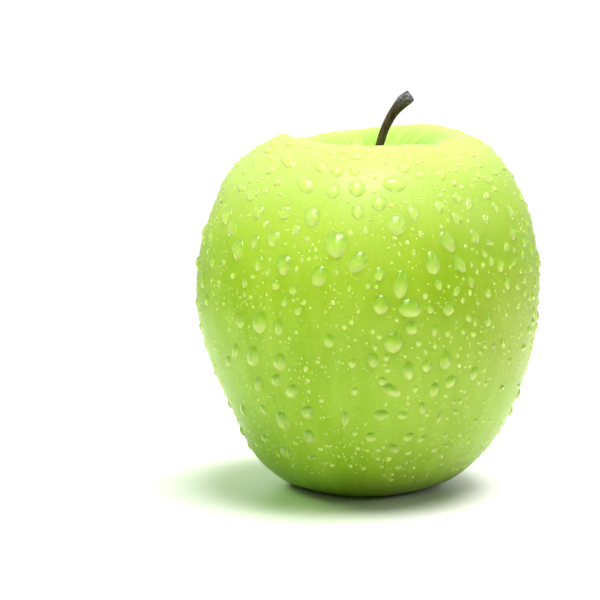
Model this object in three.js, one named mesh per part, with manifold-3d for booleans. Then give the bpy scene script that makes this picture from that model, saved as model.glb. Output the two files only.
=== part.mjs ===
// A whole green apple standing on its base: body, stem and dried calyx.
// Millimetres, +Z up. The origin is at the centre of the footprint, on the surface that the apple stands on.
import * as THREE from "three";
import { mergeVertices } from "three/addons/utils/BufferGeometryUtils.js";
import Module from "manifold-3d";

// ---- driving dimensions -------------------------------------------------

// Half profiles of the fruit, from the floor of the stem cavity over the shoulder, down the side, round the base
// and into the calyx basin. Heights are shared; the right (+X) and left (-X) radii differ, because the fruit grew uneven.
const HEIGHT = [
  66.0, 66.4, 68.8, 73.2, 77.6, 80.8, 82.2, 80.9, 77.6, 72.6, 66.0, 58.5, 50.5,
  42.0, 34.0, 26.0, 18.5, 11.5, 5.6, 1.7, 0.0, 1.3, 4.0, 6.8, 7.8,
];
const RADIUS_RIGHT = [
  0.0, 2.2, 4.4, 7.4, 11.0, 15.5, 20.5, 24.11, 28.51, 31.93, 35.26, 37.21,
  38.48, 38.28, 37.44, 35.23, 32.35, 28.46, 23.28, 17.8, 12.8, 9.4, 6.8, 4.3,
  0.0,
];
const RADIUS_LEFT = [
  0.0, 2.2, 4.4, 7.4, 11.0, 15.5, 20.5, 23.81, 28.79, 33.29, 36.23, 38.86,
  40.23, 40.35, 38.82, 36.14, 32.57, 29.38, 25.56, 20.9, 16.8, 12.2, 8.2, 4.8,
  0.0,
];

// Five lobes at uneven bearings (degrees from +X, anticlockwise): a crest, then the groove after it, and so on.
const LOBE_BEARING = [262, 303, 345, 17.5, 50, 80, 110, 147, 185, 223];
const LOBE_VALUE = [1, -1, 1, -1, 1, -1, 1, -1, 1, -1];
// Shoulder height over each of those bearings, relative to the profile.
const SHOULDER_RISE = [
  -0.8, -1.11, -0.28, -0.23, 0.36, -0.22, -1.53, -2.79, -0.51, -0.7,
];
// How far each profile point follows the shoulder's rise, the lobes (share of its radius) and the oval plan.
const RISE_SHARE = [
  0.1, 0.12, 0.2, 0.35, 0.65, 0.95, 1, 0.95, 0.8, 0.55, 0.3, 0.12, 0.03, 0, 0,
  0, 0, 0, 0, 0, 0, 0, 0, 0, 0,
];
const LOBE_SHARE = [
  0, 0, 0.015, 0.035, 0.05, 0.045, 0.032, 0.022, 0.018, 0.015, 0.013, 0.011,
  0.009, 0.008, 0.008, 0.01, 0.013, 0.018, 0.025, 0.032, 0.04, 0.07, 0.1, 0.08,
  0,
];
const OVAL_SHARE = [
  0, 0, 0, 0, 0, 0, 0, 0.002, 0.003, 0.004, 0.005, 0.006, 0.006, 0.006, 0.006,
  0.005, 0.004, 0.003, 0.002, 0.001, 0, 0, 0, 0, 0,
];
const OVAL_BEARING = 50;
// The grooves between the lobes lift off the surface; the lobe crests are pressed flat on it.
const FOOT_SHARE = [
  0, 0, 0, 0, 0, 0, 0, 0, 0, 0, 0, 0, 0, 0, 0, 0, 0, 0, 0.15, 0.55, 1, 0.7, 0.3,
  0, 0,
];
const GROOVE_LIFT = 1.0;
const FOOT_PRESS = 0.3;

// Stem: centre line, and its radius along it. The foot stands in a socket in the cavity's floor.
const STEM_LINE = [
  [0.2, 0.0, 62.9],
  [0.2, 0.0, 66.5],
  [0.3, 0.1, 71.0],
  [0.6, 0.0, 75.5],
  [1.65, -0.2, 79.8],
  [3.4, -0.6, 84.7],
  [5.4, -1.1, 87.9],
  [7.0, -1.5, 89.7],
  [8.3, -1.8, 90.8],
];
const STEM_RADIUS = [1.25, 1.3, 1.12, 1.0, 0.95, 1.03, 1.18, 1.52, 1.42];
const STEM_SIDES = 12;
const STEM_STEPS = 26;
const SOCKET_RADIUS = 1.85;
const SOCKET_FLOOR = 62.5;

// Calyx: a small ring on the basin's floor, with five shrivelled sepals and the stub of the style.
const CALYX_TOP = 7.35;
const CALYX_RING_RADIUS = 2.7;
const CALYX_RING_HEIGHT = 1.0;
const SEPAL_LENGTH = 5.0;
const SEPAL_WIDTH = 2.7;
const SEPAL_THICKNESS = 0.55;

// Facets
const AROUND = 50;
const SPANS = [
  2, 1, 1, 2, 2, 2, 3, 2, 2, 2, 2, 2, 2, 2, 2, 2, 2, 2, 2, 3, 3, 2, 1, 1,
];

// ---- helpers --------------------------------------------------------------

const rad = THREE.MathUtils.degToRad;

// Value at a bearing between listed bearings, eased like a cosine, round the full turn.
function roundTurn(bearings, values, angle) {
  const turn = 2 * Math.PI;
  const a = ((angle % turn) + turn) % turn;
  const list = bearings
    .map((b, i) => [((rad(b) % turn) + turn) % turn, values[i]])
    .sort((p, q) => p[0] - q[0]);
  const first = list[0];
  const last = list[list.length - 1];
  const ring = [[last[0] - turn, last[1]], ...list, [first[0] + turn, first[1]]];
  let k = 0;
  while (k < ring.length - 2 && a >= ring[k + 1][0]) k++;
  const t = (a - ring[k][0]) / (ring[k + 1][0] - ring[k][0]);
  return (
    ring[k][1] + ((ring[k + 1][1] - ring[k][1]) * (1 - Math.cos(Math.PI * t))) / 2
  );
}

// The fruit's half profile at one bearing, as a spline.
function profileAt(angle) {
  const right = (1 + Math.cos(angle)) / 2;
  const lobe = roundTurn(LOBE_BEARING, LOBE_VALUE, angle);
  const rise = roundTurn(LOBE_BEARING, SHOULDER_RISE, angle);
  const oval = Math.cos(2 * (angle - rad(OVAL_BEARING)));
  const points = HEIGHT.map((z, i) => {
    const r =
      (RADIUS_RIGHT[i] * right + RADIUS_LEFT[i] * (1 - right)) *
      (1 + LOBE_SHARE[i] * lobe) *
      (1 + OVAL_SHARE[i] * oval);
    const lift = FOOT_SHARE[i] * (((1 - lobe) / 2) * GROOVE_LIFT - FOOT_PRESS);
    return new THREE.Vector2(r, z + RISE_SHARE[i] * rise + lift);
  });
  return new THREE.SplineCurve(points);
}

// Spline parameters of the rings of facets, from the cavity's floor to the basin's floor.
function ringParameters() {
  const list = [];
  SPANS.forEach((n, i) => {
    for (let k = 0; k < n; k++) list.push((i + k / n) / SPANS.length);
  });
  list.push(1);
  return list;
}

// A closed geometry as a solid, with its faces turned out.
function solid(geometry) {
  const g = geometry.clone();
  for (const name of Object.keys(g.attributes))
    if (name !== "position") g.deleteAttribute(name);
  const merged = mergeVertices(g, 1e-4);
  const vertProperties = new Float32Array(merged.attributes.position.array);
  const triVerts = new Uint32Array(merged.index.array);
  const made = new wasm.Manifold(new wasm.Mesh({ numProp: 3, vertProperties, triVerts }));
  if (made.volume() > 0) return made;
  for (let i = 0; i < triVerts.length; i += 3)
    [triVerts[i + 1], triVerts[i + 2]] = [triVerts[i + 2], triVerts[i + 1]];
  return new wasm.Manifold(new wasm.Mesh({ numProp: 3, vertProperties, triVerts }));
}

function geometryOf(manifold) {
  const m = manifold.getMesh();
  const g = new THREE.BufferGeometry();
  g.setAttribute("position", new THREE.BufferAttribute(new Float32Array(m.vertProperties), 3));
  g.setIndex(new THREE.BufferAttribute(new Uint32Array(m.triVerts), 1));
  g.computeVertexNormals();
  return g;
}

const wasm = await Module();
wasm.setup();

// ---- body: a lathe whose rings are then shaped bearing by bearing -----------

function fruit() {
  const params = ringParameters();
  const mean = profileAt(rad(262));
  const outline = params.map((t, j) => {
    const p = mean.getPoint(t);
    return new THREE.Vector2(j === 0 || j === params.length - 1 ? 0 : p.x, p.y);
  });
  outline.reverse(); // from the basin up to the cavity, so that the faces point out
  const lathe = new THREE.LatheGeometry(outline, AROUND);
  lathe.rotateX(Math.PI / 2);
  const pos = lathe.attributes.position;
  const rings = params.length;
  const floor0 = HEIGHT[0] + RISE_SHARE[0] * -0.7;
  for (let i = 0; i <= AROUND; i++) {
    const angle = ((i % AROUND) / AROUND) * 2 * Math.PI;
    const profile = profileAt(angle);
    for (let j = 0; j < rings; j++) {
      const k = rings - 1 - j;
      const p = profile.getPoint(params[k]);
      let r = Math.max(p.x, 0);
      let z = Math.max(p.y, 0);
      if (k === 0) [r, z] = [0, floor0];
      if (k === rings - 1) [r, z] = [0, HEIGHT[HEIGHT.length - 1]];
      pos.setXYZ(i * rings + j, r * Math.cos(angle), r * Math.sin(angle), z);
    }
  }
  return lathe;
}

// Socket for the stem's foot, sunk in the cavity's floor.
function socket() {
  const height = 6;
  const g = new THREE.CylinderGeometry(SOCKET_RADIUS, SOCKET_RADIUS, height, 16);
  g.rotateX(Math.PI / 2);
  g.translate(STEM_LINE[0][0], STEM_LINE[0][1], SOCKET_FLOOR + height / 2);
  return g;
}

const bodySolid = solid(fruit()).subtract(solid(socket()));

// ---- stem: an extrusion along the centre line, thickened towards its tip ----

function stem() {
  const line = new THREE.CatmullRomCurve3(
    STEM_LINE.map((p) => new THREE.Vector3(...p)),
  );
  const section = new THREE.Shape();
  for (let i = 0; i < STEM_SIDES; i++) {
    const a = (i / STEM_SIDES) * 2 * Math.PI;
    if (i === 0) section.moveTo(Math.cos(a), Math.sin(a));
    else section.lineTo(Math.cos(a), Math.sin(a));
  }
  section.closePath();
  const g = new THREE.ExtrudeGeometry(section, {
    steps: STEM_STEPS,
    bevelEnabled: false,
    extrudePath: line,
  });
  const centres = line.getSpacedPoints(STEM_STEPS);
  const pos = g.attributes.position;
  const v = new THREE.Vector3();
  const last = STEM_RADIUS.length - 1;
  for (let i = 0; i < pos.count; i++) {
    v.fromBufferAttribute(pos, i);
    let best = 0;
    let near = Infinity;
    centres.forEach((c, k) => {
      const far = c.distanceTo(v);
      if (far < near - 1e-6) {
        near = far;
        best = k;
      }
    });
    const s = (best / STEM_STEPS) * last;
    const k = Math.min(Math.floor(s), last - 1);
    const radius = THREE.MathUtils.lerp(STEM_RADIUS[k], STEM_RADIUS[k + 1], s - k);
    v.sub(centres[best]).multiplyScalar(radius).add(centres[best]);
    pos.setXYZ(i, v.x, v.y, v.z);
  }
  return g;
}

// ---- calyx ------------------------------------------------------------------

// One sepal: a thin segmented box, bent out and down from the ring and narrowed to its tip.
function sepal(bearing, length, curl) {
  const g = new THREE.BoxGeometry(1, 1, 1, 2, 7, 1);
  const pos = g.attributes.position;
  const spine = new THREE.SplineCurve([
    new THREE.Vector2(1.5, CALYX_TOP - 0.65),
    new THREE.Vector2(2.9, CALYX_TOP - 1.2),
    new THREE.Vector2(3.7, CALYX_TOP - 1.2 - 0.4 * length),
    new THREE.Vector2(3.7 - curl, CALYX_TOP - 1.0 - 0.78 * length),
  ]);
  for (let i = 0; i < pos.count; i++) {
    const across = pos.getX(i);
    const t = pos.getY(i) + 0.5;
    const side = pos.getZ(i);
    const c = spine.getPoint(t);
    const d = spine.getTangent(t);
    const width =
      SEPAL_WIDTH * (0.16 + 0.84 * Math.pow(Math.cos((t * Math.PI) / 2), 0.8));
    const thick = SEPAL_THICKNESS * (1 - 0.45 * t);
    const cup = 0.35 * (4 * across * across) * (1 - t);
    const out = side * thick - cup;
    const rho = c.x - d.y * out;
    const z = c.y + d.x * out;
    pos.setXYZ(i, rho, across * width, z);
  }
  g.rotateZ(bearing);
  return g;
}

function calyx() {
  const low = CALYX_TOP - CALYX_RING_HEIGHT;
  const ring = new THREE.LatheGeometry(
    [
      new THREE.Vector2(0, low - 1.6),
      new THREE.Vector2(0.45, low - 1.5),
      new THREE.Vector2(0.6, low),
      new THREE.Vector2(CALYX_RING_RADIUS - 0.5, low - 0.1),
      new THREE.Vector2(CALYX_RING_RADIUS, low + 0.45),
      new THREE.Vector2(CALYX_RING_RADIUS - 0.35, CALYX_TOP - 0.15),
      new THREE.Vector2(CALYX_RING_RADIUS - 0.9, CALYX_TOP),
      new THREE.Vector2(0, CALYX_TOP),
    ],
    20,
  );
  ring.rotateX(Math.PI / 2);
  let all = solid(ring);
  const lengths = [1, 0.9, 1.05, 0.86, 0.97];
  const curls = [0.9, 0.4, 1.2, 0.6, 0.2];
  for (let i = 0; i < 5; i++) {
    const g = sepal(rad(26 + 72 * i + (i % 2) * 7), SEPAL_LENGTH * lengths[i], curls[i]);
    const one = solid(g);
    all = all.add(one);
  }
  return all;
}

// ---- assembly -----------------------------------------------------------------

const skin = new THREE.MeshStandardMaterial({ color: 0x9ccb3c, roughness: 0.32, metalness: 0 });
const bark = new THREE.MeshStandardMaterial({ color: 0x4a3d28, roughness: 0.85, metalness: 0 });
const dried = new THREE.MeshStandardMaterial({ color: 0x6b5a3a, roughness: 0.9, metalness: 0 });

const apple = new THREE.Group();

const body = new THREE.Mesh(geometryOf(bodySolid), skin);
body.name = "apple_body";
apple.add(body);

const stalk = new THREE.Mesh(stem(), bark);
stalk.name = "stem";
apple.add(stalk);

const flower = new THREE.Mesh(geometryOf(calyx()), dried);
flower.name = "calyx";
apple.add(flower);

// The footprint's centre goes to the origin, and the feet stand at height zero.
const box = new THREE.Box3().setFromObject(body);
apple.position.set(
  -(box.min.x + box.max.x) / 2,
  -(box.min.y + box.max.y) / 2,
  -box.min.z,
);

export default apple;
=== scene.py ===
import math

import bpy
import numpy as np
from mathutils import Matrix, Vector, noise
from mathutils.bvhtree import BVHTree


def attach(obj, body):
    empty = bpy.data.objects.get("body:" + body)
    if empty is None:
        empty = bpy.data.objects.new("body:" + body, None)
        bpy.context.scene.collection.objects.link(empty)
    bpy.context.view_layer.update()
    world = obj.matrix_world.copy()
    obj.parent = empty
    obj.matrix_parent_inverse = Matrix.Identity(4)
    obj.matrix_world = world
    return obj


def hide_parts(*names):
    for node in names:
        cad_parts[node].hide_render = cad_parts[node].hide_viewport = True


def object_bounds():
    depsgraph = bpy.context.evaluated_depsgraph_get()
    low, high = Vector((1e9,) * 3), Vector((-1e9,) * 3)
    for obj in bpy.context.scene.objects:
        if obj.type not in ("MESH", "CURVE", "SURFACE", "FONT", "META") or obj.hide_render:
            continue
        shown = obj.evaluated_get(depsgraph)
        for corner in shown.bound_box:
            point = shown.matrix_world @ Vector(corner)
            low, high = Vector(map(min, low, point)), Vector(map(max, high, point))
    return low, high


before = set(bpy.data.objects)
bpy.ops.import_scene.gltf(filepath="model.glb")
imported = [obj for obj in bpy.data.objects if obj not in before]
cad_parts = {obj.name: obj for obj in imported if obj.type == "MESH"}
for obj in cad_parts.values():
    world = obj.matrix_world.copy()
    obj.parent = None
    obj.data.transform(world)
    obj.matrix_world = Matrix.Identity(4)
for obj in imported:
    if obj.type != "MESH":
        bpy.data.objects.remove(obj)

CAD_LO, CAD_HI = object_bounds()
CAD_LO, CAD_HI = tuple(CAD_LO), tuple(CAD_HI)
MM = 0.001

# ------------------------------------------------------------------ the fruit's shape
# The same driving numbers as the CAD part, in millimetres.
HEIGHT = [66.0, 66.4, 68.8, 73.2, 77.6, 80.8, 82.2, 80.9, 77.6, 72.6, 66.0, 58.5, 50.5, 42.0, 34.0, 26.0, 18.5,
          11.5, 5.6, 1.7, 0.0, 1.3, 4.0, 6.8, 7.8]
RADIUS_RIGHT = [0.0, 2.2, 4.4, 7.4, 11.0, 15.5, 20.5, 24.11, 28.51, 31.93, 35.26, 37.21, 38.48, 38.28, 37.44,
                35.23, 32.35, 28.46, 23.28, 17.8, 12.8, 9.4, 6.8, 4.3, 0.0]
RADIUS_LEFT = [0.0, 2.2, 4.4, 7.4, 11.0, 15.5, 20.5, 23.81, 28.79, 33.29, 36.23, 38.86, 40.23, 40.35, 38.82,
               36.14, 32.57, 29.38, 25.56, 20.9, 16.8, 12.2, 8.2, 4.8, 0.0]
LOBE_BEARING = [262, 303, 345, 17.5, 50, 80, 110, 147, 185, 223]
LOBE_VALUE = [1, -1, 1, -1, 1, -1, 1, -1, 1, -1]
SHOULDER_RISE = [-0.8, -1.11, -0.28, -0.23, 0.36, -0.22, -1.53, -2.79, -0.51, -0.7]
RISE_SHARE = [0.1, 0.12, 0.2, 0.35, 0.65, 0.95, 1, 0.95, 0.8, 0.55, 0.3, 0.12, 0.03] + [0] * 12
LOBE_SHARE = [0, 0, 0.015, 0.035, 0.05, 0.045, 0.032, 0.022, 0.018, 0.015, 0.013, 0.011, 0.009, 0.008, 0.008,
              0.01, 0.013, 0.018, 0.025, 0.032, 0.04, 0.07, 0.1, 0.08, 0]
OVAL_SHARE = [0] * 7 + [0.002, 0.003, 0.004, 0.005, 0.006, 0.006, 0.006, 0.006, 0.005, 0.004, 0.003, 0.002,
                        0.001] + [0] * 5
OVAL_BEARING = 50
FOOT_SHARE = [0] * 18 + [0.15, 0.55, 1, 0.7, 0.3, 0, 0]
GROOVE_LIFT, FOOT_PRESS = 1.0, 0.3
SPANS = [2, 1, 1, 2, 2, 2, 3, 2, 2, 2, 2, 2, 2, 2, 2, 2, 2, 2, 2, 3, 3, 2, 1, 1]
AROUND = 50
STEM_LINE = [(0.2, 0.0, 62.9), (0.2, 0.0, 66.5), (0.3, 0.1, 71.0), (0.6, 0.0, 75.5), (1.65, -0.2, 79.8),
             (3.4, -0.6, 84.7), (5.4, -1.1, 87.9), (7.0, -1.5, 89.7), (8.3, -1.8, 90.8)]
STEM_RADIUS = [1.25, 1.3, 1.12, 1.0, 0.95, 1.03, 1.18, 1.52, 1.42]


def round_turn(values, ang, soften=0.0):
    """Value at each bearing in radians, eased between the listed bearings round the full turn."""
    a = np.radians(np.array(LOBE_BEARING, float)) % (2 * math.pi)
    v = np.array(values, float)
    o = np.argsort(a)
    a, v = a[o], v[o]
    a = np.concatenate([[a[-1] - 2 * math.pi], a, [a[0] + 2 * math.pi]])
    v = np.concatenate([[v[-1]], v, [v[0]]])

    def raw(x):
        x = np.mod(x, 2 * math.pi)
        i = np.clip(np.searchsorted(a, x, side="right") - 1, 0, len(a) - 2)
        t = (x - a[i]) / (a[i + 1] - a[i])
        return v[i] + (v[i + 1] - v[i]) * (1 - np.cos(math.pi * t)) / 2

    if not soften:
        return raw(ang)
    steps = np.linspace(-2.5, 2.5, 21)
    w = np.exp(-steps ** 2 / 2)
    return sum(wi * raw(ang + math.radians(soften) * s) for wi, s in zip(w, steps)) / w.sum()


def controls(ang, soften=0.0, calm=0.0):
    """Control radii and heights, one row for each bearing; calm flattens the foot's lobes towards the front."""
    right = (1 + np.cos(ang))[:, None] / 2
    lobe = round_turn(LOBE_VALUE, ang, soften)[:, None]
    front = np.clip(-np.sin(ang) * 1.4, 0, 1)[:, None] * calm
    foot = np.array([0] * 17 + [0.5] + [1] * 5 + [0.5, 0])
    lobe = lobe * (1 - front * foot) + 0.35 * front * foot
    rise = round_turn(SHOULDER_RISE, ang, soften)[:, None]
    oval = np.cos(2 * (ang - math.radians(OVAL_BEARING)))[:, None]
    r = (np.array(RADIUS_RIGHT) * right + np.array(RADIUS_LEFT) * (1 - right))
    r = r * (1 + np.array(LOBE_SHARE) * lobe) * (1 + np.array(OVAL_SHARE) * oval)
    z = np.array(HEIGHT) + np.array(RISE_SHARE) * rise + np.array(FOOT_SHARE) * ((1 - lobe) / 2 * GROOVE_LIFT - FOOT_PRESS)
    return r, z


def cad_shift():
    """How far the CAD part moved the fruit's axis to bring its footprint's centre to the origin."""
    ang = np.arange(AROUND) / AROUND * 2 * math.pi
    r, z = controls(ang)
    params = [(i + k / n) for i, n in enumerate(SPANS) for k in range(n)] + [len(SPANS)]
    last = len(HEIGHT) - 1
    xs, ys = [], []
    for p in params:
        i = min(int(p), last)
        w = p - i
        i0, i2, i3 = max(i - 1, 0), min(i + 1, last), (last if i > last - 2 else i + 2)
        c = [r[:, k] for k in (i0, i, i2, i3)]
        v0, v1 = (c[2] - c[0]) * 0.5, (c[3] - c[1]) * 0.5
        rr = (2 * c[1] - 2 * c[2] + v0 + v1) * w ** 3 + (-3 * c[1] + 3 * c[2] - 2 * v0 - v1) * w * w + v0 * w + c[1]
        rr = np.maximum(rr, 0)
        xs.append(rr * np.cos(ang))
        ys.append(rr * np.sin(ang))
    xs, ys = np.array(xs), np.array(ys)
    return -(xs.min() + xs.max()) / 2, -(ys.min() + ys.max()) / 2


SHIFT = cad_shift()


def spline_weights(knots, at):
    """Matrix that takes values at the knots to a natural cubic spline's values at the given places."""
    n = len(knots)
    h = np.diff(knots)
    A, B = np.eye(n), np.zeros((n, n))
    for i in range(1, n - 1):
        A[i, i - 1], A[i, i], A[i, i + 1] = h[i - 1], 2 * (h[i - 1] + h[i]), h[i]
        B[i, i - 1], B[i, i], B[i, i + 1] = 6 / h[i - 1], -6 / h[i - 1] - 6 / h[i], 6 / h[i]
    M = np.linalg.solve(A, B)
    I = np.eye(n)
    j = np.clip(np.searchsorted(knots, at, side="right") - 1, 0, n - 2)
    hj = h[j][:, None]
    a = ((knots[j + 1] - at) / h[j])[:, None]
    b = ((at - knots[j]) / h[j])[:, None]
    return a * I[j] + b * I[j + 1] + ((a ** 3 - a) * M[j] + (b ** 3 - b) * M[j + 1]) * hj ** 2 / 6


def _knots():
    r, z = controls(np.linspace(0, 2 * math.pi, 12, endpoint=False))
    r, z = r.mean(0), z.mean(0)
    return np.concatenate([[0], np.cumsum(np.hypot(np.diff(r), np.diff(z)))])


KNOTS = _knots()


def fbm(p, octaves=3, seed=0.0):
    q = Vector(p) + Vector((seed * 17.3, seed * -9.1, seed * 5.7))
    return noise.fractal(q, 1.0, 2.0, octaves, noise_basis="PERLIN_ORIGINAL")


def skin_grid(around, along):
    """Vertices of the fine skin in metres: rings from the cavity's floor to the basin's floor."""
    ang = np.arange(around) / around * 2 * math.pi
    at = np.linspace(0, KNOTS[-1], along)
    W = spline_weights(KNOTS, at)
    r, z = controls(ang, soften=5.0, calm=0.65)
    r, z = r @ W.T, z @ W.T
    r = np.maximum(r, 0)
    idx = np.interp(at, KNOTS, np.arange(len(KNOTS)))  # place along the profile, in control points
    # radial folds on the cavity's wall
    fold = np.exp(-((idx - 3.6) / 1.6) ** 2)
    ripple = np.array([0.55 * noise.noise(Vector((math.cos(a) * 2.6, math.sin(a) * 2.6, 3.1)))
                       + 0.35 * noise.noise(Vector((math.cos(a) * 6.5, math.sin(a) * 6.5, 7.9)))
                       + 0.12 * noise.noise(Vector((math.cos(a) * 15.0, math.sin(a) * 15.0, 1.3))) for a in ang])
    r = r * (1 + 0.11 * fold[None, :] * ripple[:, None])
    # the crease where the front and right shoulders meet
    d = (np.degrees(ang)[:, None] - 318 + 180) % 360 - 180
    crease = np.exp(-(d / 9.0) ** 2) * np.exp(-((idx - 5.6) / 1.5) ** 2)[None, :]
    z = z - 0.7 * crease
    x, y = r * np.cos(ang)[:, None], r * np.sin(ang)[:, None]
    P = np.stack([x, y, z], -1)
    # gentle hollows and swellings of a grown skin
    N = np.zeros_like(P)
    du = np.gradient(P, axis=0)
    dv = np.gradient(P, axis=1)
    N = np.cross(du, dv)
    N /= np.maximum(np.linalg.norm(N, axis=-1, keepdims=True), 1e-9)
    centre = np.array([0, 0, 42.0])
    out = np.sign(((P - centre) * N).sum(-1, keepdims=True).sum(1, keepdims=True))
    N = N * out
    amp = np.ones(along)
    amp[:3] = 0
    amp[-3:] = 0
    for i in range(around):
        for j in range(along):
            p = P[i, j]
            q = (p[0] / 15.0, p[1] / 15.0, p[2] / 21.0)
            s = (p[0] / 4.6, p[1] / 4.6, p[2] / 7.5)
            d = 0.20 * fbm(q, 2, 1) + 0.018 * fbm(s, 2, 2)
            P[i, j] = p + N[i, j] * d * amp[j]
    P[..., 2] = np.maximum(P[..., 2], 0.0)
    P[:, 0] = P[:, 0].mean(0)
    P[:, -1] = P[:, -1].mean(0)
    P[..., 0] += SHIFT[0]
    P[..., 1] += SHIFT[1]
    return P * MM


def make_object(name, verts, faces, smooth=True):
    """Mesh object from vertices of three numbers, or of four where the last is kept as the attribute "low", the drops'
    painted light.
    """
    me = bpy.data.meshes.new(name)
    me.from_pydata([tuple(map(float, v[:3])) for v in verts], [], faces)
    me.validate()
    me.update()
    if len(verts[0]) > 3 and len(me.vertices) == len(verts):
        me.attributes.new("low", "FLOAT", "POINT").data.foreach_set("value", [float(v[3]) for v in verts])
    if smooth:
        me.polygons.foreach_set("use_smooth", [True] * len(me.polygons))
    ob = bpy.data.objects.new(name, me)
    bpy.context.scene.collection.objects.link(ob)
    return ob


def grid_object(name, P):
    """Closed body from rings that start and end in a pole."""
    around, along = P.shape[0], P.shape[1]
    verts = [P[0, 0]]
    for j in range(1, along - 1):
        verts.extend(P[:, j])
    verts.append(P[0, -1])
    top, bottom = 0, len(verts) - 1
    at = lambda i, j: 1 + (j - 1) * around + i % around
    faces = []
    for i in range(around):
        faces.append((top, at(i, 1), at(i + 1, 1)))
        for j in range(1, along - 2):
            faces.append((at(i, j), at(i, j + 1), at(i + 1, j + 1), at(i + 1, j)))
        faces.append((at(i, along - 2), bottom, at(i + 1, along - 2)))
    return make_object(name, verts, faces)


GRID = skin_grid(264, 214)
skin = grid_object("apple_skin", GRID)


def point_out(ob):
    """Turns a closed mesh's faces outwards if its volume is negative."""
    me = ob.data
    vol = 0.0
    co = np.empty(len(me.vertices) * 3)
    me.vertices.foreach_get("co", co)
    co = co.reshape(-1, 3)
    for p in me.polygons:
        v = p.vertices
        for k in range(1, len(v) - 1):
            vol += float(np.dot(co[v[0]], np.cross(co[v[k]], co[v[k + 1]])))
    if vol < 0:
        me.flip_normals()
    return vol


point_out(skin)
SKIN_BVH = BVHTree.FromPolygons([v.co.copy() for v in skin.data.vertices], [tuple(p.vertices) for p in skin.data.polygons])

# ------------------------------------------------------------------ node helpers


class Nodes:
    def __init__(self, name):
        self.mat = bpy.data.materials.new(name)
        self.mat.use_nodes = True
        self.nt = self.mat.node_tree
        self.nt.nodes.clear()
        self.out = self.nt.nodes.new("ShaderNodeOutputMaterial")
        self.bsdf = self.nt.nodes.new("ShaderNodeBsdfPrincipled")
        self.nt.links.new(self.bsdf.outputs[0], self.out.inputs[0])

    def put(self, socket, value):
        if hasattr(value, "is_output") or isinstance(value, bpy.types.NodeSocket):
            self.nt.links.new(value, socket)
        else:
            socket.default_value = value

    def set(self, **values):
        for key, value in values.items():
            self.put(self.bsdf.inputs[key.replace("_", " ")], value)

    def node(self, kind, **props):
        n = self.nt.nodes.new(kind)
        for k, v in props.items():
            setattr(n, k, v)
        return n

    def math(self, op, a, b=None, c=None, clamp=False):
        n = self.node("ShaderNodeMath", operation=op, use_clamp=clamp)
        for i, v in enumerate((a, b, c)):
            if v is not None:
                self.put(n.inputs[i], v)
        return n.outputs[0]

    def vmath(self, op, a, b=None, scale=None):
        n = self.node("ShaderNodeVectorMath", operation=op)
        self.put(n.inputs[0], a)
        if b is not None:
            self.put(n.inputs[1], b)
        if scale is not None:
            self.put(n.inputs["Scale"], scale)
        return n.outputs["Value"] if op in ("LENGTH", "DOT_PRODUCT", "DISTANCE") else n.outputs["Vector"]

    def noise(self, vector, scale, detail=2.0, rough=0.5, distort=0.0):
        n = self.node("ShaderNodeTexNoise")
        self.put(n.inputs["Vector"], vector)
        n.inputs["Scale"].default_value = scale
        n.inputs["Detail"].default_value = detail
        n.inputs["Roughness"].default_value = rough
        n.inputs["Distortion"].default_value = distort
        return n.outputs["Fac"]

    def voronoi(self, vector, scale, randomness=1.0, feature="F1"):
        n = self.node("ShaderNodeTexVoronoi", feature=feature)
        self.put(n.inputs["Vector"], vector)
        n.inputs["Scale"].default_value = scale
        n.inputs["Randomness"].default_value = randomness
        return n

    def ramp(self, fac, low, high, out_low=0.0, out_high=1.0, smooth=True):
        n = self.node("ShaderNodeMapRange", interpolation_type="SMOOTHSTEP" if smooth else "LINEAR", clamp=True)
        self.put(n.inputs["Value"], fac)
        for k, v in zip(("From Min", "From Max", "To Min", "To Max"), (low, high, out_low, out_high)):
            n.inputs[k].default_value = v
        return n.outputs["Result"]

    def curve(self, fac, points):
        """Colour ramp through (place, colour) points, eased."""
        n = self.node("ShaderNodeValToRGB")
        n.color_ramp.interpolation = "B_SPLINE" if len(points) > 3 else "EASE"
        els = n.color_ramp.elements
        while len(els) > 1:
            els.remove(els[-1])
        els[0].position, els[0].color = points[0][0], (*points[0][1], 1)
        for place, colour in points[1:]:
            e = els.new(place)
            e.color = (*colour, 1)
        self.put(n.inputs["Fac"], fac)
        return n.outputs["Color"]

    def mix(self, fac, a, b, blend="MIX"):
        n = self.node("ShaderNodeMix", data_type="RGBA", blend_type=blend)
        self.put(n.inputs[0], fac)
        for i, v in ((6, a), (7, b)):
            if isinstance(v, tuple) and len(v) == 3:
                v = (*v, 1)
            self.put(n.inputs[i], v)
        return n.outputs[2]

    def bump(self, height, strength, distance, normal=None):
        n = self.node("ShaderNodeBump")
        n.inputs["Strength"].default_value = strength
        n.inputs["Distance"].default_value = distance
        self.put(n.inputs["Height"], height)
        if normal is not None:
            self.put(n.inputs["Normal"], normal)
        return n.outputs["Normal"]

    def place(self):
        return self.node("ShaderNodeTexCoord").outputs["Object"]

    def xyz(self, vector):
        n = self.node("ShaderNodeSeparateXYZ")
        self.put(n.inputs[0], vector)
        return n.outputs[0], n.outputs[1], n.outputs[2]

    def vec(self, x, y, z):
        n = self.node("ShaderNodeCombineXYZ")
        for i, v in enumerate((x, y, z)):
            self.put(n.inputs[i], v)
        return n.outputs[0]


# ------------------------------------------------------------------ skin material


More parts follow.
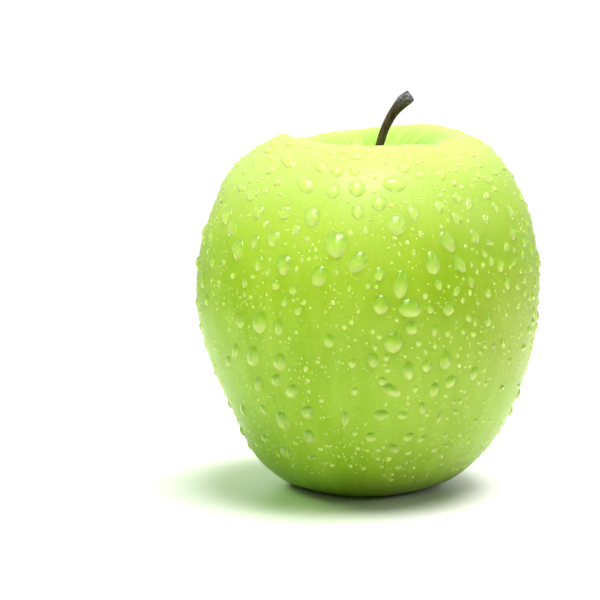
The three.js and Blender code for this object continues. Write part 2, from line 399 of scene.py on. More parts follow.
def skin_material():
    m = Nodes("apple_skin_material")
    p = m.vmath("SUBTRACT", m.place(), (SHIFT[0] * MM, SHIFT[1] * MM, 0.0))
    x, y, z = m.xyz(p)
    r = m.math("SQRT", m.math("ADD", m.math("MULTIPLY", x, x), m.math("MULTIPLY", y, y)))
    safe = m.math("MAXIMUM", r, 0.0005)
    dx, dy = m.math("DIVIDE", x, safe), m.math("DIVIDE", y, safe)
    rays = m.vec(dx, dy, m.math("MULTIPLY", z, 6.0))  # varies with the bearing, and slowly up the fruit
    height = m.math("DIVIDE", z, 0.083)
    # ground colour from the base to the shoulder, with painted shade making it darker towards the base and a painted
    # pale sheen of the light from above towards the shoulder
    ground_with_painted_light = m.curve(height, [
        (0.00, (0.125, 0.245, 0.003)),
        (0.12, (0.226, 0.388, 0.003)),
        (0.35, (0.262, 0.442, 0.003)),
        (0.60, (0.248, 0.412, 0.002)),
        (0.71, (0.285, 0.475, 0.012)),
        (0.79, (0.425, 0.595, 0.060)),
        (0.88, (0.485, 0.670, 0.142)),
        (1.00, (0.500, 0.685, 0.165)),
    ])
    cloud = m.ramp(m.noise(p, 34.0, 3.0, 0.55, 0.6), 0.34, 0.68)
    colour = m.mix(m.math("MULTIPLY", cloud, 0.30), ground_with_painted_light, (0.47, 0.66, 0.075))
    streak = m.ramp(m.noise(rays, 9.0, 4.0, 0.6), 0.40, 0.66)
    colour = m.mix(m.math("MULTIPLY", streak, 0.20), colour, (0.46, 0.63, 0.085))
    fine = m.ramp(m.noise(rays, 46.0, 3.0, 0.6), 0.38, 0.66)
    colour = m.mix(m.math("MULTIPLY", fine, 0.10), colour, (0.24, 0.42, 0.018))
    # painted shade: a darker, greener right shoulder; and a yellower cheek below it
    band = lambda v, a, b, c, d: m.math("MULTIPLY", m.ramp(v, a, b), m.ramp(v, c, d, 1.0, 0.0))
    right_shoulder_shade = m.math("MULTIPLY", m.ramp(x, 0.006, 0.028), band(z, 0.046, 0.058, 0.070, 0.079))
    colour = m.mix(m.math("MULTIPLY", right_shoulder_shade, 0.42), colour, (0.250, 0.430, 0.008))
    cheek = m.math("MULTIPLY", m.ramp(x, 0.014, 0.036), band(z, 0.022, 0.034, 0.046, 0.058))
    colour = m.mix(m.math("MULTIPLY", cheek, 0.45), colour, (0.480, 0.560, 0.080))
    # stem cavity: painted shade making its wall a deeper green, with pale rays, a touch of russet round the stem
    cavity_shade_and_rays = m.math("MULTIPLY", m.ramp(r, 0.0205, 0.0125), m.ramp(z, 0.050, 0.060))
    colour = m.mix(m.math("MULTIPLY", cavity_shade_and_rays, 0.85), colour, (0.270, 0.530, 0.055))
    ray = m.ramp(m.noise(rays, 13.0, 3.0, 0.55), 0.46, 0.62)
    colour = m.mix(m.math("MULTIPLY", m.math("MULTIPLY", cavity_shade_and_rays, ray), 0.55), colour, (0.56, 0.70, 0.16))
    russet = m.math("MULTIPLY", m.ramp(m.math("ADD", r, m.math("MULTIPLY", m.noise(rays, 7.0, 4.0, 0.7), 0.006)), 0.0085, 0.0045),
                    m.ramp(z, 0.050, 0.060))
    colour = m.mix(m.math("MULTIPLY", russet, 0.65), colour, (0.32, 0.27, 0.075))
    # calyx basin: a little paler and rougher
    basin = m.math("MULTIPLY", m.ramp(r, 0.014, 0.006), m.ramp(z, 0.030, 0.020))
    colour = m.mix(m.math("MULTIPLY", basin, 0.5), colour, (0.42, 0.52, 0.14))
    # lenticels: small pale dots
    dots = m.voronoi(p, 300.0)
    size = m.math("MULTIPLY_ADD", m.noise(p, 210.0, 1.0), 0.13, 0.02)
    dot = m.math("SUBTRACT", 1.0, m.math("DIVIDE", dots.outputs["Distance"], size), clamp=True)
    dot = m.ramp(dot, 0.0, 0.6)
    colour = m.mix(m.math("MULTIPLY", dot, 0.55), colour, (0.64, 0.76, 0.28))
    specks = m.voronoi(p, 900.0)
    speck = m.ramp(specks.outputs["Distance"], 0.20, 0.08)
    colour = m.mix(m.math("MULTIPLY", speck, 0.14), colour, (0.62, 0.76, 0.24))
    # two or three faint scars
    scar = m.ramp(m.voronoi(p, 55.0).outputs["Distance"], 0.035, 0.02)
    colour = m.mix(m.math("MULTIPLY", scar, 0.6), colour, (0.30, 0.22, 0.06))
    rough = m.math("MULTIPLY_ADD", m.noise(p, 120.0, 3.0, 0.6), 0.10, 0.32)
    rough = m.math("ADD", rough, m.math("MULTIPLY", basin, 0.2))
    wax = m.bump(m.noise(p, 1500.0, 3.0, 0.6), 0.10, 0.00012)
    peel = m.bump(m.noise(p, 420.0, 2.0, 0.5), 0.16, 0.00022, wax)
    bumps = m.bump(dot, 0.25, 0.00012, peel)
    m.set(Base_Color=colour, Roughness=rough, Normal=bumps)
    m.bsdf.inputs["Specular IOR Level"].default_value = 0.24
    m.bsdf.inputs["Subsurface Weight"].default_value = 0.18
    m.bsdf.inputs["Subsurface Radius"].default_value = (1.0, 0.85, 0.25)
    m.bsdf.inputs["Subsurface Scale"].default_value = 0.0025
    m.bsdf.inputs["Coat Weight"].default_value = 0.05
    m.bsdf.inputs["Coat Roughness"].default_value = 0.25
    return m.mat


skin.data.materials.append(skin_material())
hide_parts("apple_body")
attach(skin, "root")

# ------------------------------------------------------------------ stem


def catmull(points, n):
    """Centripetal-free Catmull-Rom through the points, n evenly spaced parameters."""
    P = np.array(points, float)
    k = len(P)
    s = np.linspace(0, k - 1, n)
    i = np.clip(np.floor(s).astype(int), 0, k - 2)
    t = (s - i)[:, None] if P.ndim > 1 else (s - i)
    g = lambda j: P[np.clip(j, 0, k - 1)]
    p0, p1, p2, p3 = g(i - 1), g(i), g(i + 1), g(i + 2)
    return 0.5 * (2 * p1 + (p2 - p0) * t + (2 * p0 - 5 * p1 + 4 * p2 - p3) * t * t + (3 * p1 - p0 - 3 * p2 + p3) * t ** 3)


def make_stem():
    rings, sides = 150, 56
    line = catmull(STEM_LINE, rings)
    rad = catmull(STEM_RADIUS, rings)
    tan = np.gradient(line, axis=0)
    tan /= np.linalg.norm(tan, axis=1, keepdims=True)
    ref = np.array([0.0, 1.0, 0.0])
    P = np.zeros((sides, rings + 9, 3))
    length = np.concatenate([[0], np.cumsum(np.linalg.norm(np.diff(line, axis=0), axis=1))])
    total = length[-1]
    for j in range(rings):
        t = tan[j]
        u = ref - t * np.dot(ref, t)
        u /= np.linalg.norm(u)
        v = np.cross(t, u)
        s = length[j]
        knob = math.exp(-((total - s - 0.9) / 1.6) ** 2)
        for i in range(sides):
            a = 2 * math.pi * i / sides
            ca, sa = math.cos(a), math.sin(a)
            ridge = (0.055 * noise.noise(Vector((ca * 1.9, sa * 1.9, s * 0.10)))
                     + 0.045 * noise.noise(Vector((ca * 4.6, sa * 4.6, s * 0.16 + 5)))
                     + 0.022 * noise.noise(Vector((ca * 9.5, sa * 9.5, s * 0.5 + 11))))
            lump = 0.10 * noise.noise(Vector((ca * 1.2, sa * 1.2, s * 0.38 + 3))) + 0.13 * knob * noise.noise(Vector((ca * 2.2, sa * 2.2, s * 0.9 + 8)))
            flat = 1 + 0.07 * math.cos(2 * (a - 0.6))
            P[i, j] = line[j] + (u * ca + v * sa) * rad[j] * flat * (1 + ridge + lump)
    # the broken-off end: a bevelled rim round a rough, slightly hollow face
    end, t = line[-1], tan[-1]
    for k, (f, up) in enumerate(((0.97, 0.16), (0.90, 0.30), (0.80, 0.36), (0.66, 0.33), (0.50, 0.22), (0.33, 0.14), (0.18, 0.12), (0.07, 0.15), (0.0, 0.17))):
        for i in range(sides):
            rim = P[i, rings - 1] - end
            a = 2 * math.pi * i / sides
            q = end + rim * f
            rough = 0.16 * noise.noise(Vector(tuple(q * 1.9))) + 0.09 * noise.noise(Vector(tuple(q * 4.2)))
            P[i, rings + k] = q + t * (up + (rough if f > 0 else 0.0))
    P[:, -1] = P[:, -1].mean(0)
    # close the hidden foot with a pole as well
    foot = np.repeat(line[0][None, None, :], sides, axis=0)
    P = np.concatenate([foot, P], axis=1)
    P[..., 0] += SHIFT[0]
    P[..., 1] += SHIFT[1]
    return grid_object("stem_bark", P * MM)


def bark_material():
    m = Nodes("stem_bark_material")
    p = m.place()
    long = m.vmath("MULTIPLY", p, (1.0, 1.0, 0.22))
    x, y, z = m.xyz(p)
    streak = m.ramp(m.noise(long, 1500.0, 5.0, 0.65, 0.3), 0.36, 0.66)
    colour = m.mix(streak, (0.020, 0.014, 0.006), (0.100, 0.066, 0.030))
    red = m.ramp(m.noise(long, 700.0, 3.0, 0.6), 0.52, 0.68)
    colour = m.mix(m.math("MULTIPLY", red, 0.45), colour, (0.150, 0.070, 0.036))
    green = m.ramp(m.noise(p, 420.0, 2.0, 0.5), 0.45, 0.65)
    colour = m.mix(m.math("MULTIPLY", green, 0.22), colour, (0.080, 0.085, 0.020))
    pores = m.ramp(m.voronoi(long, 1300.0).outputs["Distance"], 0.22, 0.10)
    colour = m.mix(m.math("MULTIPLY", pores, 0.3), colour, (0.20, 0.16, 0.11))
    # grey, weathered end
    tip = m.ramp(m.math("MULTIPLY_ADD", m.noise(p, 900.0, 3.0, 0.6), 0.0022, z), 0.0893, 0.0912)
    grey = m.mix(m.ramp(m.noise(p, 1300.0, 4.0, 0.7), 0.40, 0.62), (0.055, 0.052, 0.055), (0.250, 0.245, 0.275))
    colour = m.mix(m.math("MULTIPLY", tip, 0.85), colour, grey)
    height = m.math("ADD", m.noise(long, 1500.0, 5.0, 0.65, 0.3), m.math("MULTIPLY", m.noise(p, 3200.0, 3.0, 0.6), 0.4))
    n = m.bump(height, 0.9, 0.00025)
    n = m.bump(m.noise(long, 500.0, 3.0, 0.6), 0.6, 0.0004, n)
    m.set(Base_Color=colour, Roughness=m.ramp(streak, 0.0, 1.0, 0.62, 0.85), Normal=n)
    m.bsdf.inputs["Specular IOR Level"].default_value = 0.35
    return m.mat


stem = make_stem()
point_out(stem)
stem.data.materials.append(bark_material())
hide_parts("stem")
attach(stem, "root")

# ------------------------------------------------------------------ calyx
CALYX_TOP = 7.35


def ribbon(points, widths, thick, cup, seed, sides=14, up=None):
    """A closed tapering leaf along a line: width across, cupped, with a wavy edge. Returns (sides, rings, 3)."""
    L = np.array(points)
    n = len(L)
    tan = np.gradient(L, axis=0)
    tan /= np.linalg.norm(tan, axis=1, keepdims=True)
    P = np.zeros((sides, n + 2, 3))
    for j in range(n):
        t = tan[j]
        across = np.cross(up, t)
        across /= np.linalg.norm(across)
        face = np.cross(t, across)
        w, h = widths[j], thick[j]
        for i in range(sides):
            a = 2 * math.pi * i / sides
            ex, ey = math.cos(a), math.sin(a)
            sx = math.copysign(abs(ex) ** 0.8, ex) * w / 2
            edge = 0.22 * abs(ex) ** 3 * noise.noise(Vector((j * 0.30, seed * 3.7 + (1 if ex > 0 else -1), 0.5)))
            vein = 0.04 * math.exp(-(ex / 0.18) ** 2)
            wave = 0.10 * noise.noise(Vector((sx * 1.5, j * 0.22, seed * 2.1)))
            P[i, j + 1] = L[j] + across * (sx * (1 + edge)) + face * (ey * h / 2 - cup[j] * (2 * sx / max(w, 1e-6)) ** 2 + wave + vein * (1 if ey > 0 else -1))
    P[:, 0] = P[:, 1].mean(0)
    P[:, -1] = P[:, -2].mean(0)
    return P


FACE_CACHE = {}


def grid_faces(around, along):
    """Faces of a closed ring grid: first vertex is the top pole, last the bottom pole."""
    key = (around, along)
    if key not in FACE_CACHE:
        end = 1 + (along - 2) * around
        at = lambda i, j: 1 + (j - 1) * around + i % around
        tris = [(0, at(i, 1), at(i + 1, 1)) for i in range(around)]
        tris += [(at(i, along - 2), end, at(i + 1, along - 2)) for i in range(around)]
        quads = [(at(i, j), at(i, j + 1), at(i + 1, j + 1), at(i + 1, j)) for j in range(1, along - 2) for i in range(around)]
        FACE_CACHE[key] = (np.array(tris), np.array(quads).reshape(-1, 4))
    return FACE_CACHE[key]


def joined(name, parts):
    """One object from several closed ring grids, each turned to face outwards."""
    verts, faces, base = [], [], 0
    for P in parts:
        V = np.concatenate([P[:1, 0], P[:, 1:-1].transpose(1, 0, 2).reshape(-1, P.shape[-1]), P[:1, -1]])
        tris, quads = grid_faces(P.shape[0], P.shape[1])
        allt = np.concatenate([tris, quads[:, [0, 1, 2]], quads[:, [0, 2, 3]]])
        W = V[:, :3] - V[:, :3].mean(0)
        vol = np.einsum("ij,ij->i", W[allt[:, 0]], np.cross(W[allt[:, 1]], W[allt[:, 2]])).sum()
        if vol < 0:
            tris, quads = tris[:, ::-1], quads[:, ::-1]
        verts.append(V)
        faces.extend(map(tuple, (tris + base).tolist()))
        faces.extend(map(tuple, (quads + base).tolist()))
        base += len(V)
    return make_object(name, np.concatenate(verts), faces)


def make_calyx():
    parts = []
    # the small shrivelled ring
    sides, low = 48, CALYX_TOP - 1.0
    prof = [(0.0, low + 0.25), (0.9, low + 0.15), (1.5, low - 0.05), (2.1, low - 0.15), (2.5, low + 0.05), (2.7, low + 0.4),
            (2.65, CALYX_TOP - 0.1), (2.6, CALYX_TOP + 0.5), (0.0, CALYX_TOP + 0.5)]
    R = np.zeros((sides, len(prof), 3))
    for i in range(sides):
        a = 2 * math.pi * i / sides
        for j, (rr, zz) in enumerate(prof):
            wob = 1 + 0.10 * noise.noise(Vector((math.cos(a) * 3, math.sin(a) * 3, zz)))
            R[i, j] = (rr * wob * math.cos(a), rr * wob * math.sin(a), zz + (0.12 * noise.noise(Vector((math.cos(a) * 5, math.sin(a) * 5, rr))) if rr > 0 else 0))
    parts.append(R)
    lengths = [1, 0.9, 1.05, 0.86, 0.97]
    curls = [0.9, 0.4, 1.2, 0.6, 0.2]
    for k in range(5):
        b = math.radians(26 + 72 * k + (k % 2) * 7)
        ln = 5.0 * lengths[k]
        prof = catmull([(1.5, CALYX_TOP - 0.55), (2.9, CALYX_TOP - 1.15), (3.7, CALYX_TOP - 1.2 - 0.40 * ln), (3.7 - curls[k], CALYX_TOP - 1.0 - 0.78 * ln)], 26)
        out = np.array([math.cos(b), math.sin(b), 0])
        line = out[None] * prof[:, :1] + np.array([0, 0, 1.0])[None] * prof[:, 1:]
        t = np.linspace(0, 1, 26)
        side = np.array([-math.sin(b), math.cos(b), 0])
        line = line + side[None] * (0.35 * np.sin(t * 2.2 + k) * t)[:, None]
        widths = 2.7 * (0.07 + 0.93 * np.cos(t * math.pi / 2) ** 0.8)
        thick = 0.42 * (1 - 0.55 * t)
        cup = 0.38 * (1 - 0.7 * t)
        parts.append(ribbon(line, widths, thick, cup, k, sides=22, up=side))
    return joined("calyx_sepals", [p_shift(P) for P in parts])


def p_shift(P):
    Q = np.array(P, float)
    Q[..., 0] += SHIFT[0]
    Q[..., 1] += SHIFT[1]
    return Q * MM


def make_stamens():
    """Dried stamens and style inside the ring of sepals."""
    rng = np.random.default_rng(41)
    parts = []
    for k in range(17):
        b = 2 * math.pi * k / 17 + rng.uniform(-0.15, 0.15)
        r0 = rng.uniform(0.75, 1.5)
        ln = rng.uniform(1.3, 2.3)
        lean = rng.uniform(-0.25, 0.55)
        base = np.array([r0 * math.cos(b), r0 * math.sin(b), CALYX_TOP - 0.8])
        tip = base + np.array([lean * math.cos(b + rng.uniform(-1, 1)), lean * math.sin(b + rng.uniform(-1, 1)), -ln])
        mid = (base + tip) / 2 + rng.normal(0, 0.16, 3)
        line = catmull([base, mid, tip], 12)
        rad = 0.085 * np.ones(12)
        rad[-3:] = [0.15, 0.17, 0.09]
        P = np.zeros((8, 14, 3))
        for j in range(12):
            for i in range(8):
                a = 2 * math.pi * i / 8
                P[i, j + 1] = line[j] + rad[j] * np.array([math.cos(a), math.sin(a), 0])
        P[:, 0], P[:, -1] = line[0], line[-1] - np.array([0, 0, 0.06])
        parts.append(p_shift(P))
    return joined("calyx_stamens", parts)


def dried_material(name, low, high):
    m = Nodes(name)
    p = m.place()
    f = m.ramp(m.noise(p, 900.0, 4.0, 0.65), 0.36, 0.66)
    colour = m.mix(f, low, high)
    pale = m.ramp(m.noise(p, 2600.0, 3.0, 0.7), 0.52, 0.66)
    colour = m.mix(m.math("MULTIPLY", pale, 0.5), colour, (0.42, 0.38, 0.27))
    n = m.bump(m.noise(p, 2200.0, 4.0, 0.7), 0.8, 0.0002)
    m.set(Base_Color=colour, Roughness=m.ramp(f, 0, 1, 0.78, 0.95), Normal=n)
    m.bsdf.inputs["Sheen Weight"].default_value = 0.3
    return m.mat


calyx = make_calyx()
calyx.data.materials.append(dried_material("calyx_sepal_material", (0.050, 0.038, 0.016), (0.200, 0.165, 0.070)))
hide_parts("calyx")
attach(calyx, "root")
stamens = make_stamens()
stamens.data.materials.append(dried_material("calyx_stamen_material", (0.035, 0.024, 0.012), (0.150, 0.110, 0.055)))
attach(stamens, "root")

# ------------------------------------------------------------------ water drops
# Every drop on the front: bearing and elevation in degrees seen from a point 41 mm up the part's axis, the
# half-lengths along and across the slope in millimetres, the lean of its long axis, and its point (minus: narrow
# below, plus: narrow above).
FRONT_DROPS = """
280.8 46.4 2.22 2.62 -13 -0.05; 265.8 44.9 2.1 1.98 -21 -0.05; 256.4 44 2.09 1.71 -18 0; 243.8 46.2 1.89 3.06 39 0; 274.2 40.4 1.87 1.76 15 0; 266.5 37.9 1.83 1.43 -4 0;
280.4 34.4 2.48 2.23 14 -0.05; 286.7 37.4 1.91 1.41 -6 0; 297.6 39.3 1.47 1.29 45 0; 249.6 36.3 2.45 2 -25 -0.08; 237.9 37.5 1.73 1.62 -40 0; 225.1 36.9 1.67 1.81 4 0;
259.7 28.2 2.9 2.78 -27 -0.22; 266.9 23.3 2.74 1.76 37 0; 235.1 29.4 1.88 2 -1 -0.05; 244.1 32.3 1.33 1.29 -12 0; 241.2 21.6 2.32 1.95 -4 -0.2; 254.2 18.8 2.31 1.85 11 -0.05;
273.9 19.7 1.53 1.21 1 0; 280.8 16.7 3.07 1.68 8 0.12; 292.2 22.9 2.64 1.67 -8 0.1; 298.9 29 2.67 1.62 -25 -0.15; 302.7 22.1 2.18 1.37 -34 0; 304.1 35.5 1.55 1.2 -24 0;
310.6 29.8 1.78 1.39 -7 0.1; 274.4 10.4 2.1 1.65 -1 0.05; 283.9 9.1 2.1 2.5 7 0.05; 297.5 8.4 1.55 1.5 -4 0; 278.5 -1.8 2.4 2.11 -9 0; 284.5 2.7 1.59 1.47 -21 0;
272 -7.7 1.75 1.21 -9 0; 284 -11.8 2.41 1.24 -10 0; 297.4 -8.8 2.19 1.4 2 0.2; 290.4 -10.4 1.45 1.16 -19 0.05; 278.3 -18.6 1.39 2.63 37 0; 275.4 -15.3 1.1 0.99 -13 0;
275.3 -28 1.42 1.68 8 0; 283.4 -28.6 1.24 1.08 -41 0; 290.7 -26.2 1.6 0.92 -17 0.05; 294.3 -19.4 1.94 1.13 0 0.05; 300.4 -16.9 1.56 1.41 28 0; 309.9 -14.7 1.66 1.16 -5 0.1;
298.7 -30.4 1.57 0.69 10 0; 271.6 -36.8 1.35 1.23 -3 0; 287.1 -37.2 1.14 1.35 -39 0; 281.5 -41.4 1.11 1.7 41 0; 247 -28.5 1.93 1.47 28 0.05; 233.9 -33.6 2.76 1.89 16 0.1;
245.3 -38.5 2.04 1.55 10 0.08; 228.9 -46.3 2.03 1.39 40 0.05; 242.1 -20.8 2.17 1.41 36 0.1; 239 -10.1 2.27 1.69 24 0.1; 227.4 -9.3 2.91 1.76 27 0.08; 218.8 -8.7 2.12 1.29 36 0.05;
232.2 2.8 2.67 2.01 15 0; 223.1 2.5 2.01 1.47 18 0; 240 2.1 1.95 1.18 7 0; 257.6 -1.4 1.6 1.13 6 0.1; 236.2 -17.2 1.85 1.26 37 0.1; 227.1 -19.8 2.32 1.02 27 0.15;
209 -32.7 2 1.05 31 0; 261.7 -29.7 1.99 0.83 6 0; 212.3 -13.3 1.75 0.88 40 0; 224.9 -30.6 1.45 1.08 24 0; 217.6 -42.8 1.05 1.72 -19 0; 244.1 -46.5 0.74 1.29 -31 0;
253.8 -40.9 0.62 1.07 -28 0; 249.5 -42.7 0.5 0.7 -32 0; 237.3 -41.8 0.49 0.83 -26 0; 249.5 -48.3 0.57 0.95 -19 0; 253.6 -48.7 0.53 0.71 -42 0; 265.1 -8.9 1.18 0.77 3 0;
265.8 -19 1.12 0.78 4 0.1; 270 -41.9 0.42 0.56 -1 0; 274.7 -41.8 0.54 0.58 41 0; 231.3 -51.4 0.63 1.52 -31 0; 253.3 -23.2 0.69 0.56 36 0; 249 -11.7 0.75 0.58 25 0;
231 -24 0.48 0.86 -22 0; 272.5 -3.2 0.92 0.55 -1 0; 206.9 33.9 2.05 1.84 -12 0; 212.7 30.8 2.25 1.6 2 0; 219.2 24.8 2.37 1.92 -14 -0.15; 227.1 27.8 1.78 1.26 5 0;
230.7 21.5 1.79 1.18 12 0; 217.9 41.5 1.46 2.22 11 -0.1; 209.1 43 1.19 1.83 20 -0.1; 229.1 46.4 1.1 1.55 30 0; 245.5 14.5 1.44 0.99 9 0; 238.6 15.3 1.22 1.07 -3 0;
242.4 10.6 1.35 0.89 12 0; 247.3 7.7 1.04 0.94 39 0; 225.2 14.8 1.12 0.81 -7 0.1; 247.8 23.7 0.88 0.61 -2 0; 248.8 29.7 0.88 0.61 13 0; 260 20.5 0.99 0.56 -2 0;
269.3 32.3 1.12 0.77 -1 0; 225.5 11.3 0.89 0.64 -1 0; 235.1 19.1 1 0.7 -10 0; 250.3 23.8 0.55 0.48 -12 0; 252.4 26.6 0.56 0.47 -13 0; 246.2 20.5 0.77 0.49 -7 0;
264.1 15.5 0.88 0.44 -1 0; 270.2 16.5 0.99 0.55 0 0.1; 228.7 17 0.56 0.61 2 0; 230.3 33.5 1.02 0.9 -15 0; 233.1 42.7 0.45 0.93 23 0; 213.3 45.5 0.78 0.84 -11 0;
224.8 43.2 0.7 0.96 42 0; 220.6 43 0.46 0.87 22 0; 203.7 48 1.05 1.6 18 0; 221 50 1.2 1.45 44 0; 256.3 50.8 1.83 1.51 -43 0; 264.3 50.5 1.56 1.32 -18 0;
247.9 52.5 1.35 2.3 45 0; 227.5 54.4 1.68 3.4 32 0; 258.1 59.2 1.2 1.48 28 0; 249.8 59.3 1.05 1.49 39 0; 264.2 56.3 1.01 1.57 2 0; 270.8 59.2 0.92 0.89 2 0;
239.3 57.5 0.76 1.28 38 0; 233.8 61.8 0.81 1.39 25 0; 102.8 70 0.91 1.06 -5 0; 205.2 56.8 1.05 2 4 0; 215.9 61.9 1.05 2 5 0; 216.1 54.1 1.05 1.88 8 0;
240.3 53.2 0.45 0.72 42 0; 207.6 50.8 0.45 1 17 0; 202 59.8 1.05 2 6 0; 191.2 55.5 0.8 1.5 2 0; 190.6 49.2 0.8 1.5 5 0; 286.6 51.9 1.71 1.4 43 0;
294.6 54.2 1.12 1.48 -31 0; 292.7 49.2 1.21 0.94 26 0; 303 49.1 1.59 1.37 19 0; 308 46 0.96 0.83 21 0; 280.2 59.5 1.18 0.98 34 0; 274.6 56.3 0.85 0.77 21 0;
278.3 54.1 0.61 0.69 -25 0; 274.3 53.3 0.61 0.55 17 0; 271.2 50.7 0.56 0.44 2 0; 273.1 48.5 0.66 0.55 7 0; 285.7 57.1 0.55 0.43 39 0; 309.4 60.8 0.81 1.15 -30 0;
313 57.6 1.06 2.2 0 0; 324.8 55.8 0.62 1.07 -12 0; 328.2 53.7 0.71 1.33 -10 0; 317 51.5 0.9 0.69 -35 0; 311.9 50.2 0.68 0.64 -6 0; 327.8 49.8 0.61 1.07 -14 0;
327.3 45.5 1.35 1.59 23 0; 335.3 46.5 1.05 1.87 12 0; 346.4 46.9 0.8 1.5 3 0; 299.1 45.9 0.36 0.51 -10 0; 301.9 44.2 0.44 0.55 -33 0; 299.8 42.7 0.63 0.47 32 0;
307.6 50.2 0.45 0.63 -39 0; 319.8 46.1 0.71 0.62 22 0; 328.6 42.2 0.64 0.79 -36 0; 322.8 47.3 0.89 0.76 45 0; 306.8 41.4 1.1 1.37 37 0; 311.4 39.2 1.89 1.02 31 0;
322.3 40.8 0.9 1.49 -17 0; 324.2 36.9 1.46 1.01 -1 0; 332 34.7 2.1 1.35 -27 0; 347.7 37.6 1.5 0.8 12 0; 344 29.9 1.5 0.8 24 0; 317.6 34.3 1.26 1.03 19 0;
330.1 28.7 1.58 1.35 6 0; 325.4 25.1 1.13 1.03 24 0; 337.7 24.9 1.05 1.27 -18 0; 320.7 19.8 1.49 1.1 26 0; 334.5 21.9 1.36 0.89 10 0; 316.6 21.7 1.17 0.72 32 0;
314 24.2 1.04 0.7 -29 0; 302.9 10.5 0.67 0.52 -4 0; 294.1 16 1.11 0.84 -9 0; 300.7 13.7 1.23 0.75 30 0; 306.7 16.1 1.34 0.93 -11 0; 313.8 12 1.13 1.02 -14 0;
313.9 3.2 1.58 1.05 0 0; 323 14.1 1.5 0.99 -14 0; 329.1 12.2 0.89 0.99 23 0; 329.7 6.2 1.06 0.79 -16 0; 305.5 4.7 1.06 0.77 -22 0; 308.4 2.9 1.01 0.56 2 0;
290.8 8.5 1 0.71 -3 0; 309.1 9.6 0.92 0.54 -16 0; 322.8 4.5 0.93 0.67 -14 0; 318.9 6.9 1.14 0.48 -3 0; 312.5 20.9 0.78 0.57 12 0; 309.4 19.5 1 0.55 -6 0;
307.5 21.7 1 0.54 2 0; 328.3 19.9 0.57 1.38 -25 0; 329.6 23.7 0.72 0.84 -42 0; 333.7 13.8 1.02 0.9 3 0; 334.1 9.6 0.98 0.86 -44 0; 288.9 31.5 0.89 0.82 9 0;
285.8 26 0.88 0.46 -8 0; 279.4 30.4 0.55 0.56 -39 0; 316.7 27.5 0.72 1.4 20 0; 306 12.8 0.78 0.54 0 0; 292.6 1.5 1.46 0.72 2 0; 297.5 0.3 0.92 0.74 -14 0;
303.6 0.3 0.81 0.64 -17 0; 307.8 -1 0.64 0.74 45 0; 292.9 -3.8 0.69 0.48 -9 0; 289.7 -5.2 0.93 0.47 -5 0; 287.1 -2.2 1.03 0.69 -6 0; 276.3 -6.9 0.93 0.66 -3 0;
302.9 -11.2 0.74 0.51 -19 0; 314.7 -14.3 0.69 0.48 7 0; 318.6 -17.6 0.52 0.77 40 0; 322.1 -5.7 1.44 0.77 -28 0; 326.4 -8.6 1 0.72 -24 0; 328.1 -12.6 0.78 0.99 -28 0;
311.3 -7.3 0.85 0.56 -17 0; 317.3 -6.1 0.65 0.85 33 0; 336.7 -9 0.9 1.37 8 0; 317.1 -19.5 0.86 0.55 -36 0; 313.5 -18.5 0.73 0.51 -43 0; 328 -22.6 0.87 1.15 40 0;
307.5 -21.3 0.7 0.49 -36 0; 299.4 -22.2 0.67 0.48 -28 0; 305.8 -20.7 0.64 0.53 -31 0; 303.6 -25 0.85 0.6 -34 0; 306.4 -25.1 0.87 0.6 -37 0; 287.2 -18.7 1.01 0.69 -13 0;
285.1 -23.8 0.73 0.48 6 0; 305.9 -29.2 0.57 1.1 33 0; 302.3 -31 0.45 0.62 44 0; 317.9 -33.7 0.66 0.97 42 0; 310.6 -27.1 0.45 0.66 36 0; 322 -29.5 0.4 0.68 43 0;
304.3 -38.1 0.84 0.67 -37 0; 311.6 -38.5 0.74 0.55 -39 0; 306.7 -42.3 0.46 1.03 36 0; 300.9 -43.4 0.8 0.67 28 0; 288.4 -43.5 0.61 0.79 -41 0; 285 -49.4 1.04 0.77 -33 0;
279.6 -45.5 0.77 0.66 -33 0; 292.2 -34.1 0.58 0.78 -31 0; 293.5 -38.1 0.61 1.46 -45 0; 303.1 -54.4 0.98 0.54 -29 0; 299.4 -57.7 1.02 0.43 -30 0; 283 -55.3 0.53 0.77 24 0;
278.6 -52.6 0.34 0.47 14 0; 289.4 -53.7 0.33 0.54 22 0; 306.5 -46.8 0.77 0.45 -42 0; 319.6 -53.3 0.41 0.91 34 0; 344.5 -24 0.57 1.37 14 0; 274.9 -45.2 0.59 0.45 -9 0;
293 -50.2 0.41 0.6 41 0; 265.3 -35.5 0.67 0.56 12 0; 276.5 -23.8 0.51 0.44 -13 0; 316.6 -43.4 0.74 0.37 -40 0; 198.2 12.4 2 1.05 -6 0; 198.9 26.6 1.9 1.05 -34 0;
196.6 37.4 1.05 2 -15 0; 202.2 6.4 1.4 1.05 11 0; 204.8 19.1 1.37 1.05 -24 0; 210.8 13.1 1.02 0.87 -10 0; 212.4 20 0.94 0.78 -37 0; 218.7 16.3 0.79 0.71 -22 0;
348.2 17.5 1.5 0.8 27 0; 344 11.6 1.37 0.8 3 0; 344.4 1.8 1.45 0.8 -19 0; 343.5 21.9 1.37 0.8 15 0; 340.3 -3.6 1.22 1.02 -29 0; 344.6 -1.6 0.8 1.21 44 0;
339.5 16.8 1.04 0.8 24 0; 342.1 7.5 1.17 0.79 -10 0
"""
CENTRE = Vector((0, 0, 0.041))


def land(bearing, elevation):
    """Where a line from outside meets the skin, with the outward direction there, or None."""
    b, e = math.radians(bearing), math.radians(elevation)
    d = Vector((math.cos(b) * math.cos(e), math.sin(b) * math.cos(e), math.sin(e)))
    hit = SKIN_BVH.ray_cast(CENTRE + d * 0.12, -d, 0.2)
    return None if hit[0] is None else (hit[0], hit[1])


